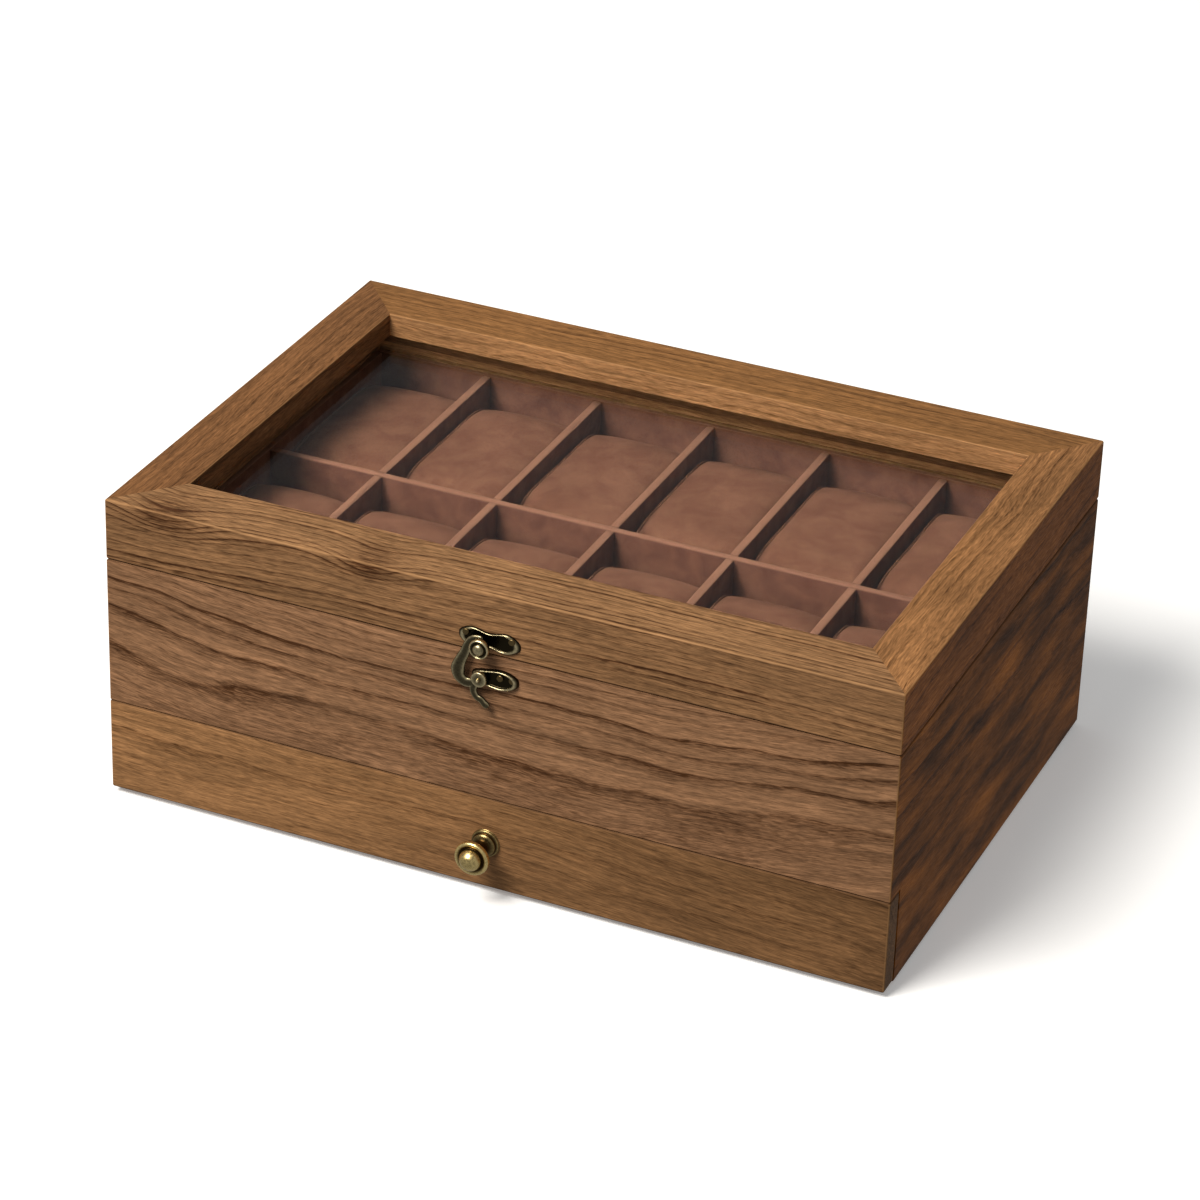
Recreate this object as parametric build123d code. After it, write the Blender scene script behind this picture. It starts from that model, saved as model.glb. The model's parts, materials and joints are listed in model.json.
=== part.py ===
from build123d import *
import os

# A two-row watch box: a mitred wooden case with a lined tray of cells, a drawer under it,
# a glazed lid on two butt hinges, and a swinging hook latch.
# Millimetres. The origin is the centre of the underside, X runs to the right, Y to the back, Z up.

# Overall sizes
box_width = 330.0
box_depth = 228.0
box_height = 132.0
lid_height = 26.0
lid_gap = 0.3
board_thickness = 10.0
edge_round = 0.9
inner_edge_round = 0.5

# Lid frame, glass and the beads that hold the glass
side_rail_width = 23.0
front_rail_width = 27.0
rail_flange_thickness = 10.0
glass_thickness = 2.5
glass_edge_gap = 0.5
bead_width = 3.0
bead_height = 9.0

# Base panel, felt, tray floor and linings
felt_thickness = 1.5
felt_inset = 2.0
base_panel_thickness = 5.0
base_rebate_depth = 4.0
tray_floor_thickness = 4.0
floor_groove_depth = 4.0
panel_edge_gap = 0.3
floor_lining_thickness = 1.5
wall_lining_thickness = 2.5
lining_drop = 1.0

# Cells and pillows
cell_columns = 6
divider_thickness = 3.5
lap_clearance = 0.1
pillow_side_gap = 0.95
pillow_end_gap = 7.9
pillow_top_drop = 3.6
pillow_floor_gap = 0.3
pillow_foot_inset = 6.0
pillow_corner_inset = 6.5
pillow_corner_drop = 3.6
pillow_belly_drop = 20.0
pillow_crown = 3.6

# Drawer
front_board_height = 62.7
drawer_front_thickness = 10.0
drawer_front_gap = 0.8
drawer_top_gap = 0.5
drawer_foot_gap = 1.0
drawer_side_gap = 0.8
drawer_back_gap = 3.0
drawer_floor_gap = 0.5
drawer_wall_thickness = 8.0
drawer_wall_top_gap = 5.0
drawer_bottom_thickness = 3.0
drawer_bottom_lift = 2.0
drawer_groove_depth = 3.0
drawer_lining_thickness = 1.5

# Knob and its screw
knob_radius = 7.2
knob_neck_radius = 2.9
knob_foot_radius = 5.8
knob_length = 18.0
knob_head_length = 6.5
knob_foot_length = 2.2
knob_bore_depth = 11.0
knob_screw_radius = 1.75
knob_screw_head_radius = 3.6
knob_screw_head_height = 2.2
knob_screw_recess = 2.6
knob_screw_recess_gap = 0.4
screw_clearance = 0.05

# Butt hinges
hinge_spacing = 190.0
hinge_width = 26.0
hinge_leaf_depth = 9.0
hinge_leaf_thickness = 1.0
hinge_barrel_radius = 2.0
hinge_back_gap = 0.2
hinge_knuckle_gap = 0.2
hinge_pin_radius = 0.9
hinge_pin_clearance = 0.05
hinge_screw_spacing = 14.0
hinge_screw_radius = 0.95
hinge_screw_head_radius = 1.8
hinge_screw_head_height = 0.7
hinge_screw_length = 8.0
hinge_screw_slot = 0.5

# Hook latch
latch_plate_thickness = 1.0
catch_plate_rise = 8.0
catch_nail_spacing = 19.0
catch_lobe_radius = 3.4
catch_waist_height = 4.4
post_x = -2.0
post_rise = 4.3
post_pad_radius = 3.5
post_shank_radius = 1.6
post_tenon_radius = 1.0
post_head_radius = 4.1
post_head_length = 3.6
pivot_x = -3.0
pivot_drop = 10.0
pivot_pad_radius = 4.2
pivot_boss_radius = 2.6
pivot_boss_height = 0.9
pivot_radius = 1.2
pivot_clearance = 0.06
pivot_head_radius = 2.7
pivot_head_length = 1.4
hook_plate_reach = 12.5
hook_plate_end_radius = 3.6
hook_plate_nails = (5.0, 10.0)
hook_plate_nail_rise = 1.6
hook_thickness = 1.6
hook_play = 0.2
hook_arm_width = 2.9
hook_tail_width = 2.3
hook_tail_end_radius = 1.6
hook_eye_radius = 2.9
nail_radius = 0.6
nail_head_radius = 1.4
nail_head_height = 0.6
nail_length = 8.0
nail_clearance = 0.05

# Levels that follow from the sizes
half_width = box_width / 2
half_depth = box_depth / 2
lid_bottom = box_height - lid_height
rim_top = lid_bottom - lid_gap
seam_middle = (lid_bottom + rim_top) / 2
front_board_bottom = rim_top - front_board_height
drawer_front_top = front_board_bottom - drawer_top_gap
drawer_front_bottom = felt_thickness + drawer_foot_gap
base_panel_top = felt_thickness + base_panel_thickness
tray_floor_bottom = front_board_bottom
tray_floor_top = tray_floor_bottom + tray_floor_thickness
cell_floor = tray_floor_top + floor_lining_thickness
cell_top = rim_top - lining_drop
glass_top = box_height - rail_flange_thickness
glass_bottom = glass_top - glass_thickness
notch_back = -half_depth + drawer_front_thickness + drawer_front_gap
inner_half_width = half_width - board_thickness
inner_half_depth = half_depth - board_thickness
cell_half_width = inner_half_width - wall_lining_thickness
cell_half_depth = inner_half_depth - wall_lining_thickness
column_pitch = (2 * cell_half_width + divider_thickness) / cell_columns
cell_width = column_pitch - divider_thickness
cell_depth = cell_half_depth - divider_thickness / 2
pillow_length = cell_depth - 2 * pillow_end_gap
pillow_height = cell_top - pillow_top_drop - cell_floor - pillow_floor_gap
drawer_back_y = inner_half_depth - drawer_back_gap
drawer_inner_front = -half_depth + drawer_front_thickness
drawer_half_width = inner_half_width - drawer_side_gap
drawer_box_bottom = base_panel_top + drawer_floor_gap
drawer_wall_top = tray_floor_bottom - drawer_wall_top_gap
drawer_panel_bottom = drawer_box_bottom + drawer_bottom_lift
drawer_panel_top = drawer_panel_bottom + drawer_bottom_thickness
knob_height = (drawer_front_top + drawer_front_bottom) / 2
hinge_axis_y = half_depth + hinge_barrel_radius + hinge_back_gap
catch_plate_height = lid_bottom + catch_plate_rise
post_height = lid_bottom + post_rise
pivot_height = rim_top - pivot_drop
hook_back = latch_plate_thickness + pivot_boss_height
hook_front = hook_back + hook_thickness
post_shank_front = hook_front + 2 * hook_play


def block(low, high):
    """A box between two opposite corners."""
    size = [b - a for a, b in zip(low, high)]
    middle = [(a + b) / 2 for a, b in zip(low, high)]
    return Pos(*middle) * Box(*size)


def frameRing(half_x, half_y, reach_x, reach_y, low_z, high_z):
    """A rectangular ring of square section, its outer half sizes and its width each way given."""
    outer = block((-half_x, -half_y, low_z), (half_x, half_y, high_z))
    inner_x = half_x - reach_x
    inner_y = half_y - reach_y
    inner = block((-inner_x, -inner_y, low_z - 1), (inner_x, inner_y, high_z + 1))
    return outer - inner


def mitrePrism(side, half_x, half_y, reach_x, reach_y):
    """A tall prism over one side of a rectangular ring, ending on its two mitre lines."""
    past = 0.3
    outer_x = half_x + past * reach_x
    outer_y = half_y + past * reach_y
    inner_x = half_x - (1 + past) * reach_x
    inner_y = half_y - (1 + past) * reach_y
    corners = {
        "front": [(-outer_x, -outer_y), (-inner_x, -inner_y), (inner_x, -inner_y), (outer_x, -outer_y)],
        "back": [(-outer_x, outer_y), (outer_x, outer_y), (inner_x, inner_y), (-inner_x, inner_y)],
        "left": [(-outer_x, -outer_y), (-outer_x, outer_y), (-inner_x, inner_y), (-inner_x, -inner_y)],
        "right": [(outer_x, -outer_y), (inner_x, -inner_y), (inner_x, inner_y), (outer_x, outer_y)],
    }[side]
    outline = make_face(Polyline(*corners, close=True))
    return Pos(0, 0, -box_height) * extrude(outline, 3 * box_height)


def onFront(sketch, start, thickness):
    """A sketch in X and Z, made into a plate that begins a given distance in front of the box."""
    return extrude(Plane.XZ.offset(half_depth + start) * sketch, thickness)


def frontPeg(x, z, radius, start, end):
    """A round peg along Y at the front, between two distances in front of the box."""
    return onFront(Pos(x, z) * Circle(radius), start, end - start)


def hingeCentres():
    return (-hinge_spacing / 2, hinge_spacing / 2)


def hingeScrewPlaces():
    places = []
    for centre in hingeCentres():
        for side in (-1, 1):
            places.append((centre + side * hinge_screw_spacing / 2, half_depth - hinge_leaf_depth / 2))
    return places


def catchNailPlaces():
    return [(-catch_nail_spacing / 2, catch_plate_height), (catch_nail_spacing / 2, catch_plate_height)]


def hookPlateNailPlaces():
    return [(x, pivot_height + hook_plate_nail_rise) for x in hook_plate_nails]


def lidRing():
    """The whole lid frame before it is cut at its mitres: a flange over a skirt, edges eased."""
    solid = block((-half_width, -half_depth, lid_bottom), (half_width, half_depth, box_height))
    solid = fillet(solid.edges(), edge_round)
    opening_x = half_width - side_rail_width
    opening_y = half_depth - front_rail_width
    opening = block((-opening_x, -opening_y, lid_bottom - 1), (opening_x, opening_y, box_height + 1))
    pocket = block(
        (-inner_half_width, -inner_half_depth, lid_bottom - 1),
        (inner_half_width, inner_half_depth, glass_top),
    )
    solid = solid - opening - pocket
    top_edges = solid.edges().filter_by_position(Axis.Z, box_height - 0.01, box_height + 0.01)
    inner_edges = [
        edge
        for edge in top_edges
        if abs(edge.center().X) < opening_x + 0.1 and abs(edge.center().Y) < opening_y + 0.1
    ]
    return fillet(inner_edges, inner_edge_round)


def caseRing():
    """The whole case wall before it is cut at its mitres, with its grooves and the drawer notch."""
    solid = block((-half_width, -half_depth, felt_thickness), (half_width, half_depth, rim_top))
    solid = fillet(solid.edges(), edge_round)
    hollow = block(
        (-inner_half_width, -inner_half_depth, 0), (inner_half_width, inner_half_depth, rim_top + 1)
    )
    groove_x = inner_half_width + floor_groove_depth
    groove_y = inner_half_depth + floor_groove_depth
    groove = block((-groove_x, -groove_y, tray_floor_bottom), (groove_x, groove_y, tray_floor_top))
    rebate_x = inner_half_width + base_rebate_depth
    rebate_y = inner_half_depth + base_rebate_depth
    rebate = block((-rebate_x, -rebate_y, 0), (rebate_x, rebate_y, base_panel_top))
    notch = block(
        (-half_width - 1, -half_depth - 1, 0), (half_width + 1, notch_back, front_board_bottom)
    )
    return solid - hollow - groove - rebate - notch


def lidRail(ring, side):
    rail = ring & mitrePrism(side, half_width, half_depth, side_rail_width, front_rail_width)
    if side == "front":
        for x, z in catchNailPlaces():
            rail -= frontPeg(x, z, nail_radius + nail_clearance, -nail_length, 1)
    if side == "back":
        for centre in hingeCentres():
            rail -= block(
                (centre - hinge_width / 2, half_depth - hinge_leaf_depth, lid_bottom - 1),
                (centre + hinge_width / 2, half_depth + 1, lid_bottom + hinge_leaf_thickness),
            )
        for x, y in hingeScrewPlaces():
            hole_radius = hinge_screw_radius + screw_clearance
            hole = Cylinder(hole_radius, hinge_screw_length, align=(Align.CENTER, Align.CENTER, Align.MIN))
            rail -= Pos(x, y, lid_bottom) * hole
    return rail


def caseBoard(ring, side):
    board = ring & mitrePrism(side, half_width, half_depth, board_thickness, board_thickness)
    if side == "front":
        below = (half_width + 1, 0, front_board_bottom)
        board -= block((-half_width - 1, -half_depth - 1, 0), below)
        for x, z in hookPlateNailPlaces():
            board -= frontPeg(x, z, nail_radius + nail_clearance, -nail_length, 1)
        board -= frontPeg(pivot_x, pivot_height, pivot_radius + nail_clearance, -nail_length, 1)
    if side == "back":
        for centre in hingeCentres():
            board -= block(
                (centre - hinge_width / 2, half_depth - hinge_leaf_depth, rim_top - hinge_leaf_thickness),
                (centre + hinge_width / 2, half_depth + 1, rim_top + 1),
            )
        for x, y in hingeScrewPlaces():
            hole_radius = hinge_screw_radius + screw_clearance
            hole = Cylinder(hole_radius, hinge_screw_length, align=(Align.CENTER, Align.CENTER, Align.MAX))
            board -= Pos(x, y, rim_top) * hole
    return board


def lidGlass():
    x = inner_half_width - glass_edge_gap
    y = inner_half_depth - glass_edge_gap
    return block((-x, -y, glass_bottom), (x, y, glass_top))


def glassBead(side):
    ring = frameRing(
        inner_half_width, inner_half_depth, bead_width, bead_width, glass_bottom - bead_height, glass_bottom
    )
    return ring & mitrePrism(side, inner_half_width, inner_half_depth, bead_width, bead_width)


def trayFloor():
    x = inner_half_width + floor_groove_depth - panel_edge_gap
    y = inner_half_depth + floor_groove_depth - panel_edge_gap
    return block((-x, -y, tray_floor_bottom), (x, y, tray_floor_top))


def basePanel():
    x = inner_half_width + base_rebate_depth
    y = inner_half_depth + base_rebate_depth
    return block((-x, notch_back, felt_thickness), (x, y, base_panel_top))


def baseFelt():
    x = half_width - felt_inset
    return block((-x, notch_back + felt_inset, 0), (x, half_depth - felt_inset, felt_thickness))


def wallLining(side):
    x = inner_half_width
    y = inner_half_depth
    t = wall_lining_thickness
    low = tray_floor_top
    return {
        "front": block((-x, -y, low), (x, -y + t, cell_top)),
        "back": block((-x, y - t, low), (x, y, cell_top)),
        "left": block((-x, -y + t, low), (-x + t, y - t, cell_top)),
        "right": block((x - t, -y + t, low), (x, y - t, cell_top)),
    }[side]


def floorLining():
    x = cell_half_width
    y = cell_half_depth
    return block((-x, -y, tray_floor_top), (x, y, cell_floor))


def dividerPlaces():
    return [(n - cell_columns / 2) * column_pitch for n in range(1, cell_columns)]


def lapHeight():
    return (cell_floor + cell_top) / 2


def longDivider():
    t = divider_thickness
    divider = block((-cell_half_width, -t / 2, cell_floor), (cell_half_width, t / 2, cell_top))
    half_slot = t / 2 + lap_clearance
    for x in dividerPlaces():
        divider -= block((x - half_slot, -t, cell_floor - 1), (x + half_slot, t, lapHeight()))
    return divider


def crossDivider(x):
    t = divider_thickness
    divider = block((x - t / 2, -cell_half_depth, cell_floor), (x + t / 2, cell_half_depth, cell_top))
    half_slot = t / 2 + lap_clearance
    return divider - block((x - t, -half_slot, lapHeight()), (x + t, half_slot, cell_top + 1))


def pillow(x, y):
    """A closed cushion: a rounded side outline across the cell, under a crowned top."""
    half_length = pillow_length / 2
    half_foot = half_length - pillow_foot_inset
    width = cell_width - 2 * pillow_side_gap
    belly = (half_length, pillow_height - pillow_belly_drop)
    side_line = ThreePointArc((half_foot, 0), (half_length - 1.0, belly[1] * 0.4), belly)
    corner = (half_length - pillow_corner_inset, pillow_height - pillow_corner_drop)
    top_line = Spline(belly, corner, (0, pillow_height), tangents=((0, 1), (-1, 0)))
    right = Curve() + side_line + top_line
    outline = right + mirror(right, Plane.YZ) + Line((-half_foot, 0), (half_foot, 0))
    body = extrude(Plane.YZ * make_face(outline), width / 2, both=True)
    crown_edge = pillow_height - pillow_crown
    crown_line = ThreePointArc((-width / 2, crown_edge), (0, pillow_height), (width / 2, crown_edge))
    walls = Polyline((-width / 2, crown_edge), (-width / 2, 0), (width / 2, 0), (width / 2, crown_edge))
    crown = extrude(Plane.XZ * make_face(Curve() + crown_line + walls), pillow_length, both=True)
    body = body & crown
    return Pos(x, y, cell_floor + pillow_floor_gap) * body


def drawerFront():
    front = block(
        (-half_width, -half_depth, drawer_front_bottom), (half_width, drawer_inner_front, drawer_front_top)
    )
    front = fillet(front.edges(), edge_round)
    groove_x = drawer_half_width - drawer_wall_thickness + drawer_groove_depth
    front -= block(
        (-groove_x, drawer_inner_front - drawer_groove_depth, drawer_panel_bottom),
        (groove_x, drawer_inner_front + 1, drawer_panel_top),
    )
    front -= frontPeg(
        0, knob_height, knob_screw_radius + screw_clearance, -drawer_front_thickness - 1, 1
    )
    recess_end = -drawer_front_thickness + knob_screw_recess
    recess_radius = knob_screw_head_radius + knob_screw_recess_gap
    return front - frontPeg(0, knob_height, recess_radius, -drawer_front_thickness - 1, recess_end)


def drawerSide(direction):
    outer = drawer_half_width
    inner = drawer_half_width - drawer_wall_thickness
    side = block(
        (inner, drawer_inner_front, drawer_box_bottom), (outer, drawer_back_y, drawer_wall_top)
    )
    side -= block(
        (inner - 1, drawer_inner_front - 1, drawer_panel_bottom),
        (inner + drawer_groove_depth, drawer_back_y - drawer_wall_thickness, drawer_panel_top),
    )
    if direction < 0:
        side = mirror(side, Plane.YZ)
    return side


def drawerBack():
    x = drawer_half_width - drawer_wall_thickness
    front_y = drawer_back_y - drawer_wall_thickness
    back = block((-x, front_y, drawer_box_bottom), (x, drawer_back_y, drawer_wall_top))
    return back - block(
        (-x - 1, front_y - 1, drawer_panel_bottom), (x + 1, front_y + drawer_groove_depth, drawer_panel_top)
    )


def drawerBottom():
    x = drawer_half_width - drawer_wall_thickness + drawer_groove_depth - panel_edge_gap
    front_y = drawer_inner_front - drawer_groove_depth + panel_edge_gap
    back_y = drawer_back_y - drawer_wall_thickness
    inner_x = drawer_half_width - drawer_wall_thickness
    bottom = block((-x, front_y, drawer_panel_bottom), (x, back_y, drawer_panel_top))
    tongue_y = back_y + drawer_groove_depth - panel_edge_gap
    return bottom + block((-inner_x, back_y - 1, drawer_panel_bottom), (inner_x, tongue_y, drawer_panel_top))


def drawerLining():
    x = drawer_half_width - drawer_wall_thickness
    top = drawer_panel_top + drawer_lining_thickness
    return block((-x, drawer_inner_front, drawer_panel_top), (x, drawer_back_y - drawer_wall_thickness, top))


def knob():
    """A turned knob: a flared foot, a waisted neck and a domed head with a ring, along -Y."""
    head_start = knob_length - knob_head_length
    foot = Line((0, 0), (knob_foot_radius, 0))
    foot_rim = Line((knob_foot_radius, 0), (knob_foot_radius, knob_foot_length * 0.5))
    neck = ThreePointArc(
        (knob_foot_radius, knob_foot_length * 0.5),
        (knob_neck_radius, (knob_foot_length + head_start) / 2),
        (knob_radius * 0.8, head_start),
    )
    head_rim = ThreePointArc(
        (knob_radius * 0.8, head_start),
        (knob_radius, head_start + knob_head_length * 0.4),
        (knob_radius * 0.8, head_start + knob_head_length * 0.75),
    )
    dome = TangentArc(
        (0, knob_length), (knob_radius * 0.8, head_start + knob_head_length * 0.75), tangent=(1, 0)
    )
    axis_line = Line((0, knob_length), (0, 0))
    profile = make_face(Curve() + foot + foot_rim + neck + head_rim + dome + axis_line)
    turned = revolve(profile, Axis.Y)
    bore = Rot(-90, 0, 0) * Cylinder(
        knob_screw_radius + screw_clearance, knob_bore_depth, align=(Align.CENTER, Align.CENTER, Align.MIN)
    )
    return Pos(0, -half_depth, knob_height) * Rot(0, 0, 180) * (turned - bore)


def knobScrew():
    head_face = -drawer_front_thickness + knob_screw_recess
    shank = frontPeg(0, knob_height, knob_screw_radius, head_face, knob_bore_depth - 1.0)
    head_end = head_face - knob_screw_head_height
    return shank + frontPeg(0, knob_height, knob_screw_head_radius, head_end, head_face)


def knuckleSpans(centre):
    """The X spans of a hinge's three knuckles: case, lid, case."""
    third = hinge_width / 3
    low = centre - hinge_width / 2
    half_gap = hinge_knuckle_gap / 2
    return [
        (low, low + third - half_gap),
        (low + third + half_gap, low + 2 * third - half_gap),
        (low + 2 * third + half_gap, low + hinge_width),
    ]


def alongX(low, high, radius):
    rod = Rot(0, 90, 0) * Cylinder(radius, high - low)
    return Pos((low + high) / 2, hinge_axis_y, seam_middle) * rod


def hingeLeaf(centre, spans, low_z, screw_face, screw_turn):
    """One leaf: a flat plate let into the wood, its knuckles, and two countersunk holes."""
    high_z = low_z + hinge_leaf_thickness
    leaf = block(
        (centre - hinge_width / 2, half_depth - hinge_leaf_depth, low_z),
        (centre + hinge_width / 2, half_depth, high_z),
    )
    for low, high in spans:
        leaf += block((low, half_depth - 1, low_z), (high, hinge_axis_y, high_z))
        leaf += alongX(low, high, hinge_barrel_radius)
    bore_radius = hinge_pin_radius + hinge_pin_clearance
    leaf -= alongX(centre - hinge_width, centre + hinge_width, bore_radius)
    for side in (-1, 1):
        x = centre + side * hinge_screw_spacing / 2
        place = Pos(x, half_depth - hinge_leaf_depth / 2, screw_face)
        leaf -= place * Rot(screw_turn, 0, 0) * hingeScrew(screw_clearance)
    return leaf


def hingeScrew(grow):
    """A countersunk screw pointing down, its head's face at the origin, all radii grown."""
    head = Pos(0, 0, -hinge_screw_head_height / 2) * Cone(
        hinge_screw_radius + grow, hinge_screw_head_radius + grow, hinge_screw_head_height
    )
    shank_length = hinge_screw_length - 0.5
    shank = Cylinder(
        hinge_screw_radius + grow, shank_length, align=(Align.CENTER, Align.CENTER, Align.MAX)
    )
    return head + shank


def slottedScrew():
    slot = Box(3 * hinge_screw_head_radius, hinge_screw_slot, hinge_screw_slot)
    return hingeScrew(0) - slot


def lidHingeLeaves():
    leaves = []
    for centre in hingeCentres():
        spans = knuckleSpans(centre)[1:2]
        leaves.append(hingeLeaf(centre, spans, lid_bottom, lid_bottom, 180))
    return leaves


def caseHingeLeaves():
    leaves = []
    for centre in hingeCentres():
        spans = knuckleSpans(centre)[0::2]
        leaves.append(hingeLeaf(centre, spans, rim_top - hinge_leaf_thickness, rim_top, 0))
    return leaves


def hingePins():
    return [
        alongX(centre - hinge_width / 2, centre + hinge_width / 2, hinge_pin_radius)
        for centre in hingeCentres()
    ]


def lidHingeScrews():
    return [Pos(x, y, lid_bottom) * Rot(180, 0, 0) * slottedScrew() for x, y in hingeScrewPlaces()]


def caseHingeScrews():
    return [Pos(x, y, rim_top) * slottedScrew() for x, y in hingeScrewPlaces()]


def nails(places):
    """Round-headed nails through a latch plate into the wood."""
    plate = latch_plate_thickness
    made = []
    for x, z in places:
        shank = frontPeg(x, z, nail_radius, -nail_length + 0.5, plate)
        head = frontPeg(x, z, nail_head_radius, plate, plate + nail_head_height)
        rim = head.edges().filter_by(GeomType.CIRCLE).sort_by(Axis.Y)[0]
        made.append(shank + fillet(rim, nail_head_height * 0.8))
    return made


def catchPlate():
    """A bow-shaped plate with a lobe round each nail and a pad behind the post."""
    outline = Pos(0, catch_plate_height) * Rectangle(catch_nail_spacing, catch_waist_height)
    for x, z in catchNailPlaces():
        outline += Pos(x, z) * Circle(catch_lobe_radius)
    outline += Pos(post_x, post_height) * Circle(post_pad_radius)
    plate = onFront(outline, 0, latch_plate_thickness)
    for x, z in catchNailPlaces():
        plate -= frontPeg(x, z, nail_radius + nail_clearance, -1, latch_plate_thickness + 1)
    return plate - frontPeg(post_x, post_height, post_tenon_radius + nail_clearance, -1, 3)


def catchPost():
    """The post that the hook closes on: a tenon in the plate, a shank and a domed head."""
    tenon = frontPeg(post_x, post_height, post_tenon_radius, 0, latch_plate_thickness)
    shank = frontPeg(post_x, post_height, post_shank_radius, latch_plate_thickness, post_shank_front)
    head = frontPeg(
        post_x, post_height, post_head_radius, post_shank_front, post_shank_front + post_head_length
    )
    rims = head.edges().filter_by(GeomType.CIRCLE).sort_by(Axis.Y)
    head = fillet(rims[0], post_head_length * 0.7)
    return tenon + shank + head


def hookPlate():
    """A leaf-shaped plate with a raised boss that carries the hook clear of the nail heads."""
    end_x = hook_plate_reach - hook_plate_end_radius
    end_z = pivot_height + hook_plate_nail_rise
    pad = Pos(pivot_x, pivot_height) * Circle(pivot_pad_radius)
    end = Pos(end_x, end_z) * Circle(hook_plate_end_radius)
    plate = onFront(make_hull((pad + end).edges()), 0, latch_plate_thickness)
    plate += frontPeg(
        pivot_x, pivot_height, pivot_boss_radius, latch_plate_thickness, hook_back - hook_play
    )
    for x, z in hookPlateNailPlaces():
        plate -= frontPeg(x, z, nail_radius + nail_clearance, -1, latch_plate_thickness + 1)
    return plate - frontPeg(pivot_x, pivot_height, pivot_radius + nail_clearance, -1, 3)


def pivotRivet():
    start = hook_front + hook_play
    shank = frontPeg(pivot_x, pivot_height, pivot_radius, -nail_length + 0.5, start)
    head = frontPeg(pivot_x, pivot_height, pivot_head_radius, start, start + pivot_head_length)
    rim = head.edges().filter_by(GeomType.CIRCLE).sort_by(Axis.Y)[0]
    return shank + fillet(rim, pivot_head_length * 0.75)


def hookArmLine():
    """The arm's middle line: down and left from the pivot, round, and over the top of the post."""
    rise = post_height - pivot_height
    over = rise + post_shank_radius + hook_play + hook_arm_width / 2
    heel = ThreePointArc((0, 0), (-5.4, -2.2), (-8.8, 2.4))
    back = TangentArc(heel @ 1, (-4.6, rise), tangent=heel % 1)
    beak = TangentArc(back @ 1, (post_x - pivot_x + 0.8, over + 0.1), tangent=back % 1)
    return Curve() + heel + back + beak


def hookTailLine():
    """The thumb tail's middle line: down from the pivot, then curling out to the right."""
    drop = ThreePointArc((0, 0), (-2.3, -4.2), (-0.6, -8.4))
    curl = TangentArc(drop @ 1, (4.6, -11.6), tangent=drop % 1)
    return Curve() + drop + curl


def latchHook():
    """A flat swinging hook: an eye round the pivot, a curved arm and a thumb tail."""
    arm_line = hookArmLine()
    tail_line = hookTailLine()
    outline = trace(arm_line, hook_arm_width) + trace(tail_line, hook_tail_width)
    outline += Circle(hook_eye_radius)
    outline += Pos(*(arm_line.edges()[-1] @ 1)) * Circle(hook_arm_width / 2)
    outline += Pos(*(tail_line.edges()[-1] @ 1)) * Circle(hook_tail_end_radius)
    hook = onFront(Pos(pivot_x, pivot_height) * outline, hook_back, hook_thickness)
    return hook - frontPeg(pivot_x, pivot_height, pivot_radius + pivot_clearance, 0, hook_front + 1)


def save(name, shapes):
    """Write one node: a single solid, or several separate ones as a group."""
    solids = []
    for shape in shapes if isinstance(shapes, list) else [shapes]:
        solids.extend(shape.solids())
    node = solids[0] if len(solids) == 1 else Compound(children=solids)
    node.label = name
    export_step(node, f"parts/{name}.step")


os.makedirs("parts", exist_ok=True)

lid_ring = lidRing()
case_ring = caseRing()
for side_name in ("front", "back", "left", "right"):
    save(f"lid_rail_{side_name}", lidRail(lid_ring, side_name))
    save(f"glass_bead_{side_name}", glassBead(side_name))
    save(f"case_board_{side_name}", caseBoard(case_ring, side_name))
    save(f"lining_{side_name}", wallLining(side_name))
save("lid_glass", lidGlass())
save("tray_floor", trayFloor())
save("base_panel", basePanel())
save("base_felt", baseFelt())
save("floor_lining", floorLining())
save("long_divider", longDivider())
for number, divider_x in enumerate(dividerPlaces(), start=1):
    save(f"cross_divider_{number}", crossDivider(divider_x))

for column in range(cell_columns):
    pillow_x = (column + 0.5 - cell_columns / 2) * column_pitch
    for row_name, row_side in (("front", -1), ("back", 1)):
        pillow_y = row_side * (divider_thickness / 2 + cell_depth / 2)
        save(f"pillow_{row_name}_{column + 1}", pillow(pillow_x, pillow_y))

save("drawer_front", drawerFront())
save("drawer_side_left", drawerSide(-1))
save("drawer_side_right", drawerSide(1))
save("drawer_back", drawerBack())
save("drawer_bottom", drawerBottom())
save("drawer_lining", drawerLining())
save("knob", knob())
save("knob_screw", knobScrew())

save("lid_hinge_leaves", lidHingeLeaves())
save("case_hinge_leaves", caseHingeLeaves())
save("hinge_pins", hingePins())
save("lid_hinge_screws", lidHingeScrews())
save("case_hinge_screws", caseHingeScrews())

save("catch_plate", catchPlate())
save("catch_post", catchPost())
save("catch_nails", nails(catchNailPlaces()))
save("hook_plate", hookPlate())
save("hook_plate_nails", nails(hookPlateNailPlaces()))
save("pivot_rivet", pivotRivet())
save("latch_hook", latchHook())
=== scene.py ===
import json
import math

import bmesh
import bpy
import numpy as np
from mathutils import Matrix, Vector


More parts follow.
